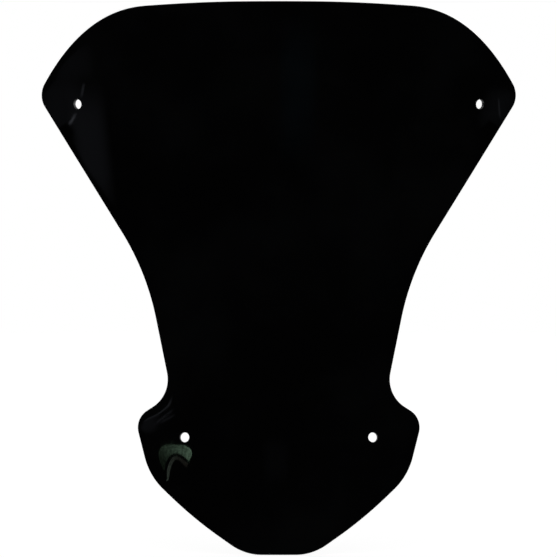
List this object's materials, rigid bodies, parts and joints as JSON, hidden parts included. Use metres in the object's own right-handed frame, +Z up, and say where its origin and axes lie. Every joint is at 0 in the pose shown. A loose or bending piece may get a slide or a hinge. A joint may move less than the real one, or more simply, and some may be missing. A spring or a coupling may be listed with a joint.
{
  "type": "motorcycle windshield screen",
  "caption": "Formed gloss black windshield screen for a motorcycle, wide winged top, narrow waist, eared foot and round mounting holes.",
  "frame": {"origin": "middle of the screen's bounding box at the height of its lowest edge, on the mirror plane", "axes": "+Z up from the chin to the top edge, -Y the way the outer face looks, +X to the right as the outer face is seen"},
  "size_m": [0.3992, 0.0854, 0.448],
  "materials": {
    "screen_black": "polished, deep gloss black"
  },
  "bodies": {
    "root": {"screen_panel": "screen_black"}
  },
  "joints": []
}
